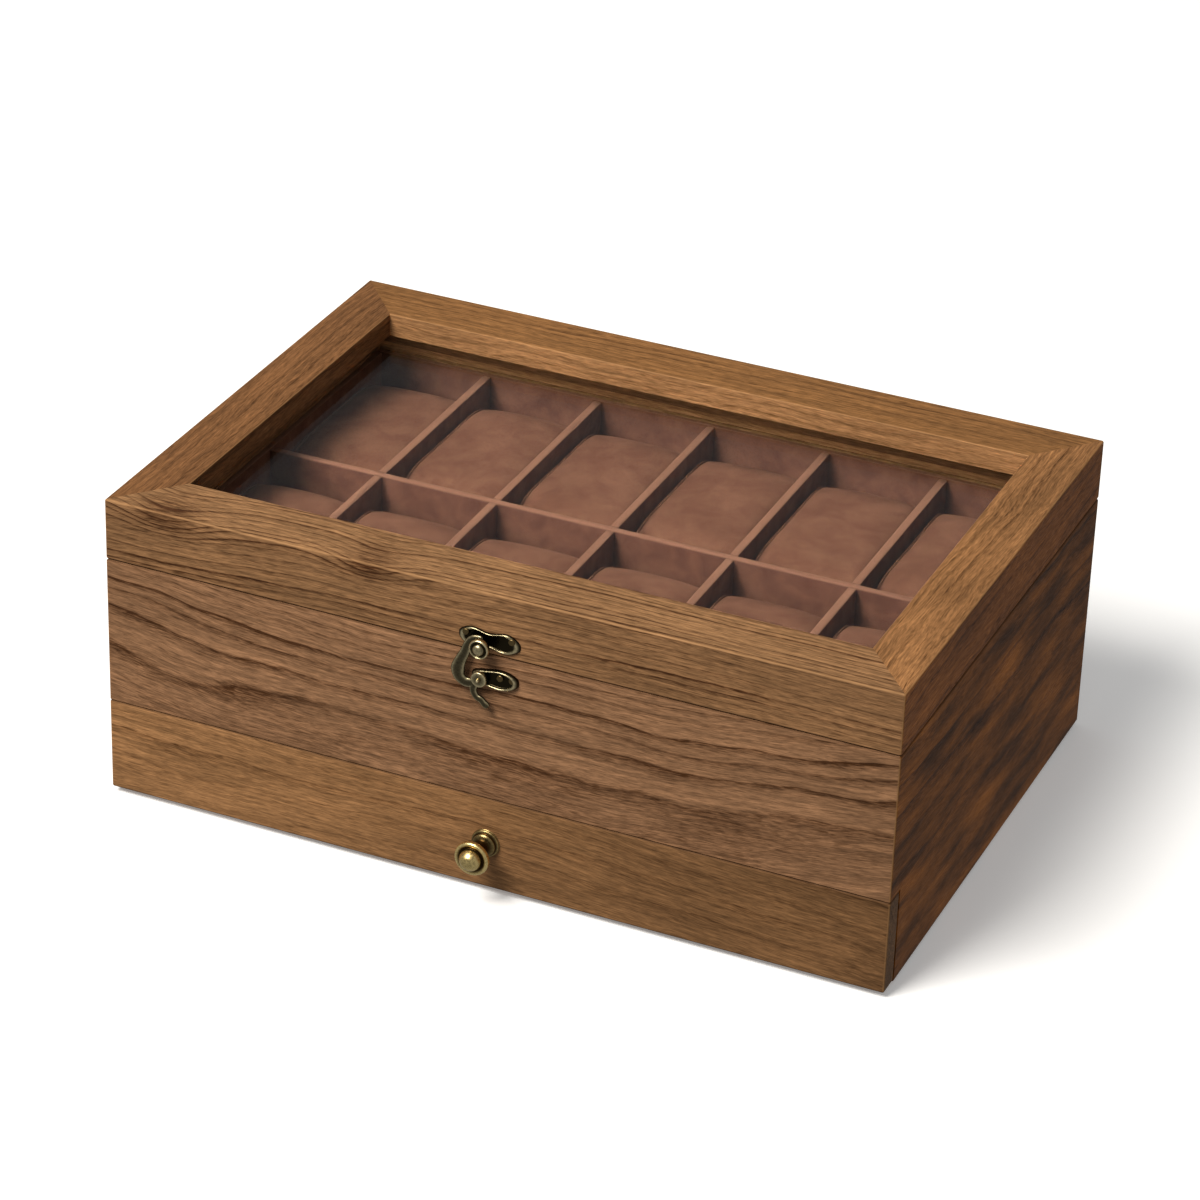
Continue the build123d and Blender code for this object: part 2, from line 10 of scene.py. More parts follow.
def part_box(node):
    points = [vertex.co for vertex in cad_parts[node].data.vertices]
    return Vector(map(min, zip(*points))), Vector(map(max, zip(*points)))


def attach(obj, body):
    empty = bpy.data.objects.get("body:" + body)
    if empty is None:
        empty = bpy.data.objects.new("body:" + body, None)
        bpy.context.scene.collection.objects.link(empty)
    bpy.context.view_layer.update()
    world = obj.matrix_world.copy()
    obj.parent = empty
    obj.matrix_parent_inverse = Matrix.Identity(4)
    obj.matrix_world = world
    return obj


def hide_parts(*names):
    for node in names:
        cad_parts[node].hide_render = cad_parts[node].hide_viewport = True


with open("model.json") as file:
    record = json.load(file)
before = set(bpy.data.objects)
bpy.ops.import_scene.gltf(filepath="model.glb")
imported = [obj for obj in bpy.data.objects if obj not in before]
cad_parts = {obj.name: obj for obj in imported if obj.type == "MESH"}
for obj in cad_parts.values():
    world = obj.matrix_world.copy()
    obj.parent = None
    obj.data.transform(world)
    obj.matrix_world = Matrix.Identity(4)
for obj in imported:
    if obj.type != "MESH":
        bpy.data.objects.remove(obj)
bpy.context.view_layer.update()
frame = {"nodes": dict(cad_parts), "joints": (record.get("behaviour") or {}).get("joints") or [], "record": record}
mm = 0.001
nodes = frame["nodes"]
bodyOf = {node: body for body, members in frame["record"]["behaviour"]["bodies"].items() for node in members}
joints = {joint["name"]: joint for joint in frame["joints"]}

# the camera stands off the right front corner and looks down on the lid

cameraSetup = {
    "azimuth": 23.07,  # degrees round to the right from straight in front
    "elevation": 28.94,
    "roll": 1.98,
    "distance": 1.741,
    "lens": 130.3,
    "aim": (-0.0043, 0.0, 0.0720),
}


def makeCamera(setup):
    azimuth, elevation, roll = (math.radians(setup[k]) for k in ("azimuth", "elevation", "roll"))
    forward = Vector((-math.sin(azimuth), math.cos(azimuth), -math.tan(elevation))).normalized()
    data = bpy.data.cameras.new("camera")
    data.lens = setup["lens"]
    data.clip_start = 0.05
    camera = bpy.data.objects.new("camera", data)
    bpy.context.scene.collection.objects.link(camera)
    camera.location = Vector(setup["aim"]) - forward * setup["distance"]
    facing = forward.to_track_quat("-Z", "Y").to_matrix().to_4x4()
    camera.rotation_euler = (facing @ Matrix.Rotation(roll, 4, "Z")).to_euler()
    bpy.context.scene.camera = camera


makeCamera(cameraSetup)
print("camera placed")


def linear(colour, alpha=1.0):
    values = [int(colour[i : i + 2], 16) / 255 for i in (1, 3, 5)]
    curve = [v / 12.92 if v <= 0.04045 else ((v + 0.055) / 1.055) ** 2.4 for v in values]
    return (*curve, alpha)


def add(tree, kind, inputs=None, output=0, stops=None, **settings):
    # one node with its settings, its links and values, and a ramp's stops; gives back the output that is used
    node = tree.nodes.new("ShaderNode" + kind)
    for name, value in settings.items():
        setattr(node, name, value)
    for key, value in (inputs or {}).items():
        if isinstance(value, bpy.types.NodeSocket):
            tree.links.new(value, node.inputs[key])
        else:
            node.inputs[key].default_value = linear(value) if isinstance(value, str) else value
    if stops:
        elements = node.color_ramp.elements
        while len(elements) < len(stops):
            elements.new(0.5)
        for element, (place, value) in zip(elements, stops):
            element.position = place
            element.color = (value, value, value, 1)
    return node.outputs[output]


def newMaterial(name):
    material = bpy.data.materials.new(name)
    material.use_nodes = True
    tree = material.node_tree
    tree.nodes.clear()
    output = tree.nodes.new("ShaderNodeOutputMaterial")
    shader = tree.nodes.new("ShaderNodeBsdfPrincipled")
    tree.links.new(shader.outputs[0], output.inputs[0])
    return material, tree, shader


def gridFaces(rows, columns):
    # each face joins a point to the next along the row, the next row's pair, and back
    r, c = np.meshgrid(np.arange(rows - 1), np.arange(columns - 1), indexing="ij")
    corner = r * columns + c
    return np.stack([corner, corner + columns, corner + columns + 1, corner + 1], -1).reshape(-1, 4)


def join(parts):
    # several shells as one list of points and faces, each shell's faces counted on from the last
    points = np.concatenate([part[0].reshape(-1, 3) for part in parts])
    starts = np.cumsum([0] + [part[0].reshape(-1, 3).shape[0] for part in parts[:-1]])
    faces = np.concatenate([part[1] + start for part, start in zip(parts, starts)])
    rubbed = np.concatenate([np.broadcast_to(part[2], part[0].shape[:-1]).reshape(-1) for part in parts])
    return points, faces, rubbed


def shell(points, rubbed=0.0):
    return points, gridFaces(*points.shape[:2]), rubbed


def makePiece(name, parts, body, material, replaces=()):
    # lengths come in millimetres; points that meet are merged and the faces turned outwards
    points, faces, rubbed = join(parts)
    mesh = bpy.data.meshes.new(name)
    mesh.from_pydata(points * mm, [], faces)
    mesh.attributes.new("rubbed", "FLOAT", "POINT").data.foreach_set("value", rubbed.astype(np.float32))
    tidy(mesh)
    mesh.shade_smooth()
    mesh.materials.append(material)
    piece = bpy.data.objects.new(name, mesh)
    bpy.context.scene.collection.objects.link(piece)
    settle(piece, body, replaces)
    return piece


def tidy(mesh, outwards=True):
    work = bmesh.new()
    work.from_mesh(mesh)
    bmesh.ops.remove_doubles(work, verts=work.verts, dist=2e-6)
    bmesh.ops.dissolve_degenerate(work, edges=work.edges, dist=1e-7)
    if outwards:
        bmesh.ops.recalc_face_normals(work, faces=work.faces)
    work.to_mesh(mesh)
    work.free()


def settle(piece, body, replaces=()):
    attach(piece, body)
    if replaces:
        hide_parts(*replaces)


def smoothLine(points, count):
    # a Catmull-Rom line: each stretch is a cubic through two points, sloping as its neighbours do
    p = np.asarray(points, float)
    p = np.vstack([2 * p[0] - p[1], p, 2 * p[-1] - p[-2]])
    t = np.linspace(0, len(p) - 3 - 1e-9, count)
    i = t.astype(int)
    f = (t - i)[:, None]
    a, b, c, d = p[i], p[i + 1], p[i + 2], p[i + 3]
    return 0.5 * (2 * b + (c - a) * f + (2 * a - 5 * b + 4 * c - d) * f**2 + (3 * b - a - 3 * c + d) * f**3)


def turned(profile, centre, count=160, around=64, proud=False):
    # a profile of (radius, distance forward) turned round a line that runs out of the front, towards -Y
    line = smoothLine(profile, count)
    angle = np.linspace(0, 2 * math.pi, around + 1)[None, :]
    r, forward = np.maximum(line[:, :1], 0), line[:, 1:2]
    x = centre[0] + r * np.cos(angle)
    z = centre[2] + r * np.sin(angle)
    y = np.broadcast_to(centre[1] - forward, x.shape)
    rubbed = np.broadcast_to(line[:, 2:3], x.shape) if proud else 0.0
    return shell(np.stack([x, y, z], -1), rubbed)


def flatBar(line, widths, yBack, thickness, around=28):
    # a bar along a bent line in the XZ plane: its section is a rounded slab, its ends round off as a circle does
    step = np.gradient(line, axis=0)
    along = np.concatenate([[0], np.cumsum(np.linalg.norm(np.diff(line, axis=0), axis=1))])
    across = np.stack([-step[:, 1], step[:, 0]], -1) / np.linalg.norm(step, axis=1)[:, None]
    reach = np.minimum(along, along[-1] - along) / (widths / 2)
    rounding = np.sqrt(np.clip(1 - (1 - np.clip(reach, 0, 1)) ** 2, 0, 1))
    angle = np.linspace(0, 2 * math.pi, around + 1)[None, :]
    side = np.sign(np.cos(angle)) * np.abs(np.cos(angle)) ** 0.8
    rise = np.sign(np.sin(angle)) * np.abs(np.sin(angle)) ** 0.85
    half = (widths / 2 * rounding)[:, None]
    x = line[:, :1] + across[:, :1] * half * side
    z = line[:, 1:2] + across[:, 1:2] * half * side
    y = yBack - thickness / 2 - thickness / 2 * rise * np.sqrt(rounding)[:, None]
    paler = 0.07 + 0.70 * np.exp(-(((np.clip(rise, 0, 1) - 0.72) / 0.16) ** 2))
    return shell(np.stack([x, y, z], -1), paler * np.ones_like(x))


# carbonised paulownia boards, planed and oiled: open grain, dark late rings and a low satin sheen

woodLook = {
    "pore": "#46290f",
    "edge": "#b08355",
    "poreWidth": 0.42,  # mm, drawn a little coarser than the real pores so that they show
    "poreLength": 6.0,
    "fibreWidth": 0.50,
    "fibreLength": 5.5,
    "bendLength": 95.0,  # mm along the trunk from one slow bend to the next
    "bendWidth": 42.0,
    "patchLength": 70.0,
    "patchWidth": 16.0,
    "cloudLength": 60.0,
    "cloudWidth": 24.0,
    "streakLength": 48.0,
    "halfLength": 165.0,  # mm from the middle of a board to its end
    "knotDepth": 30.0,
    "gloss": 0.09,
    "grooveDepth": 0.00025,
}


def drawnOut(length, width):
    # scales for a pattern drawn out along the grain: one unit is length mm that way and width mm across
    return (1 / length, 1 / width, 1 / width)


# what a board looks like unless its own entry says otherwise; lengths are mm in the board's own directions
plainBoard = {
    "grain": "x",
    "pith": (0.0, 0.0),  # where the heart of the tree ran, across the board and up
    "face": (0.0, 0.0),  # the place where the rings have the width that rings gives
    "rings": 6.0,
    "growth": 1.0,  # above 1 the later years lie closer together
    "light": "#96704d",
    "dark": "#5a3b20",
    "contrast": 0.8,
    "wave": 2.5,
    "bow": 0.0,
    "tilt": 0.0,
    "knots": (),
    "fine": 0.35,
    "cloud": 0.14,
    "fade": 0.3,
    "coarse": 0.36,
    "streaks": 0.22,
    "streakWidth": 1.5,
    # painted shade: how much darker the board grows towards one end
    "darken": 0.04,
    # how pale the arrises facing up and sideways are painted: part wear, part painted highlight
    "wornLitUp": 0.1,
    "wornLitSide": 0.5,
    "facing": None,
    "tone": (1, 1, 1),
    "seed": 0.0,
}


def bentBoard(tree, look, board, seeded):
    # slow bends along the trunk, quicker ones across it, and the whole line of the grain sagging or tilting
    noise = add(tree, "TexNoise", {"Vector": add(tree, "VectorMath", {
        0: seeded, 1: drawnOut(woodLook["bendLength"], woodLook["bendWidth"])}, operation="MULTIPLY"),
        "Scale": 1.0, "Detail": 3.0, "Roughness": 0.5}, output="Color")
    centred = add(tree, "VectorMath", {0: noise, 1: (-0.5, -0.5, -0.5)}, operation="ADD")
    bend = add(tree, "VectorMath", {0: centred, 1: (0.0, look["wave"] * 5, look["wave"] * 5)}, operation="MULTIPLY")
    length = add(tree, "SeparateXYZ", {0: board})
    square = add(tree, "Math", {0: add(tree, "Math", {0: length}, operation="ABSOLUTE"), 1: 2.0}, operation="POWER")
    sag = add(tree, "Math", {0: square, 1: look["bow"] / woodLook["halfLength"]**2}, operation="MULTIPLY")
    slope = add(tree, "Math", {0: length, 1: look["tilt"]}, operation="MULTIPLY")
    rise = add(tree, "Math", {0: sag, 1: slope}, operation="ADD")
    down = add(tree, "CombineXYZ", {2: add(tree, "Math", {0: rise, 1: -1.0}, operation="MULTIPLY")})
    bent = add(tree, "VectorMath", {0: board, 1: bend}, operation="ADD")
    return add(tree, "VectorMath", {0: bent, 1: down}, operation="ADD")


def pithDistance(tree, look, board, bent):
    # growth rings are the distances from the pith line; a knot swells them, and that dies away as a bell does
    pith = look["pith"]
    fromPith = add(tree, "VectorMath", {0: bent, 1: (0.0, -pith[0], -pith[1])}, operation="ADD")
    radial = add(tree, "VectorMath", {0: fromPith, 1: (0.0, 1.0, 1.0)}, operation="MULTIPLY")
    distance = add(tree, "VectorMath", {0: radial}, output="Value", operation="LENGTH")
    knotShade = 0.0
    for knot in look["knots"]:
        scales = (1 / knot["size"][0], 1 / woodLook["knotDepth"], 1 / knot["size"][1])
        off = add(tree, "VectorMath", {0: board, 1: tuple(-place for place in knot["at"])}, operation="ADD")
        scaled = add(tree, "VectorMath", {0: off, 1: scales}, operation="MULTIPLY")
        reach = add(tree, "VectorMath", {0: scaled}, output="Value", operation="LENGTH")
        bell = add(tree, "Math", {0: 0.36, 1: add(tree, "Math", {0: reach, 1: reach}, operation="MULTIPLY")},
                   operation="POWER")
        swell = add(tree, "Math", {0: bell, 1: knot["swell"]}, operation="MULTIPLY")
        distance = add(tree, "Math", {0: distance, 1: swell}, operation="ADD")
        heart = add(tree, "Math", {0: bell, 1: 3.0}, operation="POWER")
        shade = add(tree, "Math", {0: heart, 1: knot["shade"]}, operation="MULTIPLY")
        knotShade = add(tree, "Math", {0: shade, 1: knotShade}, operation="ADD")
    return distance, knotShade


def ringDepth(tree, look, distance, seeded):
    # years are counted outwards from the pith, unevenly; each ends in a dark late line
    reference = math.hypot(look["face"][0] - look["pith"][0], look["face"][1] - look["pith"][1])
    share = add(tree, "Math", {0: distance, 1: reference}, operation="DIVIDE")
    packed = add(tree, "Math", {0: share, 1: look["growth"]}, operation="POWER")
    years = add(tree, "Math", {0: packed, 1: reference / (look["growth"] * look["rings"])}, operation="MULTIPLY")
    uneven = add(tree, "TexNoise", {"Vector": add(tree, "CombineXYZ", {0: years, 1: look["seed"] * 7.0}),
                                    "Scale": 0.55, "Detail": 1.0})
    years = add(tree, "Math", {0: years, 1: add(tree, "Math", {0: uneven, 1: 1.6}, operation="MULTIPLY")},
                operation="ADD")
    # some years leave a strong line and others hardly any
    year = add(tree, "CombineXYZ", {0: add(tree, "Math", {0: years}, operation="FLOOR"), 1: look["seed"] * 3.0})
    hard = add(tree, "ValToRGB", {0: add(tree, "TexWhiteNoise", {"Vector": year}, output="Value")},
               stops=[(0.0, 0.25), (1.0, 1.0)])
    late = add(tree, "ValToRGB", {0: add(tree, "Math", {0: years}, operation="FRACT")},
               stops=[(0.0, 0.55), (0.07, 0.12), (0.32, 0.0), (0.64, 0.24), (0.86, 0.80), (0.965, 1.0), (1.0, 0.5)])
    thirds = add(tree, "Math", {0: add(tree, "Math", {0: years, 1: 3.0}, operation="MULTIPLY")}, operation="FRACT")
    faint = add(tree, "ValToRGB", {0: thirds}, stops=[(0.0, 0.3), (0.2, 0.0), (0.7, 0.2), (0.93, 1.0), (1.0, 0.3)])
    # rings come and go along the board, so no line is the same from end to end
    patch = add(tree, "TexNoise", {"Vector": add(tree, "VectorMath", {
        0: seeded, 1: drawnOut(woodLook["patchLength"], woodLook["patchWidth"])}, operation="MULTIPLY"),
        "Scale": 1.0, "Detail": 3.0})
    strength = add(tree, "ValToRGB", {0: patch}, stops=[(0.32, look["fade"]), (0.60, 1.0)])
    lines = add(tree, "Math", {0: late, 1: add(tree, "Math", {0: strength, 1: hard}, operation="MULTIPLY")},
                operation="MULTIPLY")
    lines = add(tree, "Math", {0: lines, 1: look["contrast"]}, operation="MULTIPLY")
    between = add(tree, "Math", {0: faint, 1: look["fine"] * 0.5}, operation="MULTIPLY")
    return add(tree, "Math", {0: lines, 1: between}, operation="ADD")


def arrisWearAndLight(tree, look, base):
    # arrises facing up and sideways are painted paler, part wear and part painted highlight; arrises facing down, and
    # the top arrises of boards with little upward paling, are painted dark as painted shade: there the surface turns
    # away from all three directions
    normal = add(tree, "TexCoord", output="Normal")
    upright = add(tree, "SeparateXYZ", {0: normal}, output=2)
    split = add(tree, "SeparateXYZ", {0: add(tree, "VectorMath", {0: normal}, operation="ABSOLUTE")}).node.outputs
    flatter = add(tree, "Math", {0: split[0], 1: split[1]}, operation="MAXIMUM")
    largest = add(tree, "Math", {0: flatter, 1: split[2]}, operation="MAXIMUM")
    arris = add(tree, "ValToRGB", {0: largest}, stops=[(0.86, 1.0), (0.992, 0.0)])
    raised = add(tree, "Math", {0: upright, 1: 1.0}, operation="ADD")
    height = add(tree, "Math", {0: raised, 1: 0.5}, operation="MULTIPLY")
    paler = add(tree, "ValToRGB", {0: height},
               stops=[(0.28, 0.0), (0.45, look["wornLitSide"]), (0.56, look["wornLitSide"]), (0.70, look["wornLitUp"])])
    arrisShade = add(tree, "ValToRGB", {0: height},
               stops=[(0.25, 0.75), (0.42, 0.0), (0.60, 0.0), (0.72, 0.6 * (look["wornLitUp"] < 0.2))])
    for share, colour in ((paler, woodLook["edge"]), (arrisShade, woodLook["pore"])):
        amount = add(tree, "Math", {0: arris, 1: share}, operation="MULTIPLY")
        base = add(tree, "Mix", {0: amount, 6: base, 7: colour}, output=2, data_type="RGBA")
    return base


def woodMaterial(name, look):
    look = {**plainBoard, **look}
    material, tree, shader = newMaterial(name)
    turn = {"x": 0.0, "y": -math.pi / 2}[look["grain"]]
    board = add(tree, "Mapping", {"Vector": add(tree, "TexCoord", output="Object"), "Rotation": (0, 0, turn),
                                  "Scale": (1000,) * 3})
    start = tuple(look["seed"] * stride for stride in (137.0, 59.0, 83.0))
    seeded = add(tree, "VectorMath", {0: board, 1: start}, operation="ADD")
    bent = bentBoard(tree, look, board, seeded)
    distance, knotShade = pithDistance(tree, look, board, bent)
    rings = ringDepth(tree, look, distance, seeded)
    fibre, streak, poreNoise, cloudNoise = (
        add(tree, "TexNoise", {"Vector": add(tree, "VectorMath", {0: lie, 1: drawnOut(length, width)},
                                             operation="MULTIPLY"), "Scale": 1.0, "Detail": detail, "Roughness": rough})
        for lie, length, width, detail, rough in (
            (bent, woodLook["fibreLength"], woodLook["fibreWidth"], 3.0, 0.6),
            (bent, woodLook["streakLength"], look["streakWidth"], 2.0, 0.5),
            (bent, woodLook["poreLength"], woodLook["poreWidth"], 0.0, 0.5),
            (seeded, woodLook["cloudLength"], woodLook["cloudWidth"], 3.0, 0.5)))
    depth = add(tree, "Math", {0: rings, 1: knotShade}, operation="ADD")
    grit = add(tree, "ValToRGB", {0: fibre}, stops=[(0.30, 0.55), (0.70, 1.25)])
    depth = add(tree, "Math", {0: depth, 1: grit}, operation="MULTIPLY", use_clamp=True)
    base = add(tree, "Mix", {0: depth, 6: look["light"], 7: look["dark"]}, output=2, data_type="RGBA")
    for noise, low, high, amount in ((fibre, 0.30, 0.70, look["coarse"]), (streak, 0.32, 0.68, look["streaks"])):
        tone = add(tree, "ValToRGB", {0: noise}, stops=[(low, 1 + amount), (high, 1 - amount)])
        base = add(tree, "Mix", {0: 1.0, 6: base, 7: tone}, output=2, data_type="RGBA", blend_type="MULTIPLY")
    pores = add(tree, "ValToRGB", {0: poreNoise}, stops=[(0.58, 0.0), (0.68, 1.0)])
    deepened = add(tree, "Math", {0: depth, 1: 0.60}, operation="MULTIPLY")
    shown = add(tree, "Math", {0: deepened, 1: 0.18}, operation="ADD")
    poreMask = add(tree, "Math", {0: pores, 1: shown}, operation="MULTIPLY")
    base = add(tree, "Mix", {0: poreMask, 6: base, 7: woodLook["pore"]}, output=2, data_type="RGBA")
    # slow clouds where the oil soaked in unevenly, and painted shade: one end of the board a little darker than the
    # other, as the light falls off
    clouds = add(tree, "ValToRGB", {0: cloudNoise}, stops=[(0.28, 1 - look["cloud"]), (0.72, 1 + look["cloud"])])
    length = add(tree, "SeparateXYZ", {0: board})
    lost = add(tree, "Math", {0: length, 1: look["darken"] / woodLook["halfLength"]}, operation="MULTIPLY")
    shade = add(tree, "Math", {0: 1.0, 1: lost}, operation="SUBTRACT")
    for tone in (clouds, add(tree, "CombineXYZ", {0: shade, 1: shade, 2: shade})):
        base = add(tree, "Mix", {0: 1.0, 6: base, 7: tone}, output=2, data_type="RGBA", blend_type="MULTIPLY")
    if look["facing"]:
        # painted light: one face of this board is tinted apart from the rest; the board's entry says whether that is
        # painted shade or painted reflected light
        towards = add(tree, "VectorMath", {0: add(tree, "TexCoord", output="Normal"), 1: look["facing"]},
                      output="Value", operation="DOT_PRODUCT")
        share = add(tree, "ValToRGB", {0: towards}, stops=[(0.6, 0.0), (0.9, 1.0)])
        toned = add(tree, "Mix", {0: 1.0, 6: base, 7: (*look["tone"], 1)}, output=2, data_type="RGBA",
                    blend_type="MULTIPLY")
        base = add(tree, "Mix", {0: share, 6: base, 7: toned}, output=2, data_type="RGBA")
    tree.links.new(arrisWearAndLight(tree, look, base), shader.inputs["Base Color"])
    tree.links.new(add(tree, "ValToRGB", {0: fibre}, stops=[(0.3, 0.48), (0.7, 0.62)]), shader.inputs["Roughness"])
    shader.inputs["Specular IOR Level"].default_value = woodLook["gloss"]
    fibreDip = add(tree, "Math", {0: fibre, 1: -0.5}, operation="MULTIPLY")
    poreDip = add(tree, "Math", {0: poreMask, 1: 0.9}, operation="MULTIPLY")
    grooves = add(tree, "Math", {0: fibreDip, 1: poreDip}, operation="SUBTRACT")
    bump = add(tree, "Bump", {"Height": grooves, "Strength": 0.4, "Distance": woodLook["grooveDepth"]})
    tree.links.new(bump, shader.inputs["Normal"])
    return material


def paint(node, material):
    mesh = nodes[node].data
    mesh.materials.clear()
    mesh.materials.append(material)


# one look for each board: where its pith ran, how close its rings are and how dark they turned
boardGrain = {
    # this rail's front face is painted a little darker than its top: painted shade
    "lid_rail_front": dict(
        pith=(-176.0, 58.0), face=(-114.0, 118.0), rings=2.5, growth=1.6, contrast=1.35, wave=0.9, tilt=0.012, bow=-2.0,
        fine=0.55, cloud=0.16, fade=0.35, wornLitUp=0.45, light="#966f4a", dark="#482a15", facing=(0, -1, 0),
        tone=(0.92, 0.91, 0.93), seed=1.0,
        knots=(dict(at=(-139.0, -114.0, 131.0), size=(21.0, 11.0), swell=7.0, shade=0.6),
               dict(at=(-52.0, -114.0, 130.0), size=(17.0, 7.0), swell=5.0, shade=0.7))),
    # this rail's inner face is painted paler and bluer: painted reflected light
    "lid_rail_back": dict(
        pith=(178.0, 70.0), face=(114.0, 130.0), rings=3.4, contrast=0.9, wave=1.6, wornLitUp=0.45, light="#8c6239",
        dark="#5d3c1e", facing=(0, -1, 0), tone=(1.55, 1.68, 2.10), seed=2.0),
    "lid_rail_left": dict(
        grain="y", pith=(240.0, 80.0), face=(155.0, 132.0), rings=3.6, contrast=0.85, wave=1.8, wornLitUp=0.45,
        light="#7b5433", dark="#52341a", seed=3.0),
    # this rail's outer right face is painted darker and warmer: painted shade
    "lid_rail_right": dict(
        grain="y", pith=(-240.0, 84.0), face=(-155.0, 132.0), rings=3.8, contrast=0.9, wave=2.2, wornLitUp=0.45,
        light="#946840", dark="#5a3a1e", cloud=0.26, facing=(1, 0, 0), tone=(0.94, 0.68, 0.36), seed=4.0),
    "case_board_front": dict(
        pith=(-178.0, 38.0), face=(-114.0, 66.0), rings=6.6, growth=4.2, contrast=1.5, wave=1.9, bow=10.0, tilt=0.012,
        light="#946d4e", dark="#4b2e19", fine=0.40, cloud=0.18, seed=5.2),
    # darken here is painted shade: this front grows darker towards its right end
    "drawer_front": dict(
        pith=(-190.0, -16.0), face=(-114.0, 20.0), rings=5.8, growth=2.0, contrast=0.75, wave=1.7, bow=-3.0,
        tilt=-0.030, darken=0.33, light="#8d6642", dark="#4f3118", fine=0.40, cloud=0.18, seed=6.1),
    "case_board_left": dict(
        grain="y", pith=(232.0, 46.0), face=(165.0, 70.0), rings=5.4, growth=3.0, contrast=0.9, wave=2.4,
        light="#87603f", dark="#4c311c", seed=7.0),
    # this board's colours are darker and more orange than the others': partly its own tone, partly painted shade on the
    # side away from the lamp
    "case_board_right": dict(
        grain="y", pith=(-228.0, 20.0), face=(-165.0, 60.0), rings=9.5, growth=2.0, contrast=1.25, wave=2.4, tilt=-0.04,
        light="#824d1a", dark="#361b08", fine=0.2, cloud=0.36, fade=0.5, coarse=0.22, streaks=0.55, streakWidth=6.5,
        seed=8.0),
    "case_board_back": dict(
        pith=(182.0, 30.0), face=(114.0, 60.0), rings=6.0, growth=3.0, contrast=0.8, wave=2.2, light="#8a6542",
        dark="#54381f", seed=9.0),
}

for node, look in boardGrain.items():
    paint(node, woodMaterial("carbonisedPaulownia_" + node, look))
print("boards painted")

# the glass beads and drawer box are plainer wood, stained but not picked for its figure: even, quiet brown
beadWood = woodMaterial("stainedPaulowniaBead", dict(
    pith=(-400.0, 60.0), face=(0.0, 115.0), rings=3.0, contrast=0.35, wave=1.0, seed=11.0, light="#7d5a3c",
    dark="#553b26"))
for node in ("glass_bead_front", "glass_bead_back", "glass_bead_left", "glass_bead_right"):
    paint(node, beadWood)
plainPoplar = dict(face=(0.0, 20.0), rings=4.2, contrast=0.4, wave=1.4, light="#8c6a48", dark="#644628")
innerWoods = {
    "x": woodMaterial("stainedPoplar", dict(plainPoplar, pith=(-500.0, -30.0), seed=12.0)),
    "y": woodMaterial("stainedPoplarSides", dict(plainPoplar, grain="y", pith=(500.0, -30.0), seed=13.0)),
}
for node in ("tray_floor", "base_panel", "drawer_back", "drawer_bottom"):
    paint(node, innerWoods["x"])
for node in ("drawer_side_left", "drawer_side_right"):
    paint(node, innerWoods["y"])
print("inner wood painted")

# float glass: clear, slightly grey, and light passes straight through it to the pillows


def glassMaterial(look):
    material, tree, shader = newMaterial("floatGlass")
    shader.inputs["Base Color"].default_value = linear(look["colour"])
    shader.inputs["Transmission Weight"].default_value = 1.0
    shader.inputs["Roughness"].default_value = 0.0
    shader.inputs["IOR"].default_value = look["ior"]
    clear = add(tree, "BsdfTransparent", {"Color": look["shadow"]})
    shadow = add(tree, "LightPath", output="Is Shadow Ray")
    mixed = add(tree, "MixShader", {0: shadow, 1: shader.outputs[0], 2: clear})
    output = next(node for node in tree.nodes if node.type == "OUTPUT_MATERIAL")
    tree.links.new(mixed, output.inputs[0])
    return material


glassLook = {
    "colour": "#f6f8f8",
    "shadow": "#f2f4f4",
    "ior": 1.14,  # real glass is 1.5; lower here, because the pane shows next to no reflection
}
paint("lid_glass", glassMaterial(glassLook))

# flocked velvet on card: a dull, short nap that goes a little lighter where it is seen edge on; the real nap is
# about 0.3 mm and is drawn about three times as coarse, so that it shows


def velvetMaterial(name, colour, paler, napSize=0.9, mottle=0.12, sheen=0.35, patchSize=9.0, topHighlight=None):
    material, tree, shader = newMaterial(name)
    inMm = add(tree, "Mapping", {"Vector": add(tree, "TexCoord", output="Object"), "Scale": (1000,) * 3})
    nap = add(tree, "TexNoise", {"Vector": inMm, "Scale": 1 / napSize, "Detail": 3.0, "Roughness": 0.65})
    patch = add(tree, "TexNoise", {"Vector": inMm, "Scale": 1 / patchSize, "Detail": 3.0, "Roughness": 0.55,
                                   "Distortion": 0.4})
    rubbed = add(tree, "ValToRGB", {0: patch}, stops=[(0.35, 0.0), (0.70, 0.75)])
    base = add(tree, "Mix", {0: rubbed, 6: colour, 7: paler}, output=2, data_type="RGBA")
    if topHighlight:
        # painted highlight: the faces turned upwards, the tops of the dividers, are painted paler, as light from above
        # falls on them
        upright = add(tree, "SeparateXYZ", {0: add(tree, "TexCoord", output="Normal")}, output=2)
        topHighlightShare = add(tree, "ValToRGB", {0: upright}, stops=[(0.35, 0.0), (0.85, 0.9)])
        base = add(tree, "Mix", {0: topHighlightShare, 6: base, 7: topHighlight}, output=2, data_type="RGBA")
    tone = add(tree, "ValToRGB", {0: nap}, stops=[(0.3, 1 - mottle), (0.7, 1 + mottle)])
    base = add(tree, "Mix", {0: 1.0, 6: base, 7: tone}, output=2, data_type="RGBA", blend_type="MULTIPLY")
    tree.links.new(base, shader.inputs["Base Color"])
    shader.inputs["Roughness"].default_value = 0.92
    shader.inputs["Specular IOR Level"].default_value = 0.15
    shader.inputs["Sheen Weight"].default_value = sheen
    shader.inputs["Sheen Roughness"].default_value = 0.38
    shader.inputs["Sheen Tint"].default_value = linear(paler)
    bump = add(tree, "Bump", {"Height": nap, "Strength": 0.35, "Distance": 0.0003})
    tree.links.new(bump, shader.inputs["Normal"])
    return material


